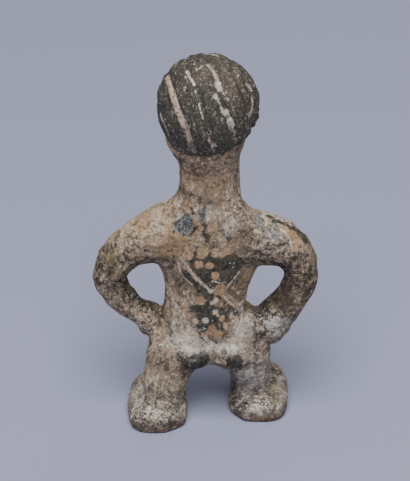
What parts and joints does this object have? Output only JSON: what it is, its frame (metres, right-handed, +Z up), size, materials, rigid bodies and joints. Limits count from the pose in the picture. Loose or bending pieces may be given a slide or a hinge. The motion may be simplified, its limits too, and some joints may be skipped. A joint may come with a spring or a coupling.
{
  "type": "anthropomorphic statuette",
  "caption": "Small standing fired-clay figure with its hands on its hips, a long neck and combed hair, which stands on its own two feet.",
  "frame": {"origin": "on the ground under the middle of the figure's bounding box", "axes": "+Z up from the soles to the crown; the figure faces -Y, and its own left side is +X"},
  "size_m": [0.0504, 0.027, 0.0881],
  "materials": {
    "fired_clay": "matt, worn paint, pale mineral crust"
  },
  "bodies": {
    "root": {"statuette": "fired_clay"}
  },
  "joints": []
}
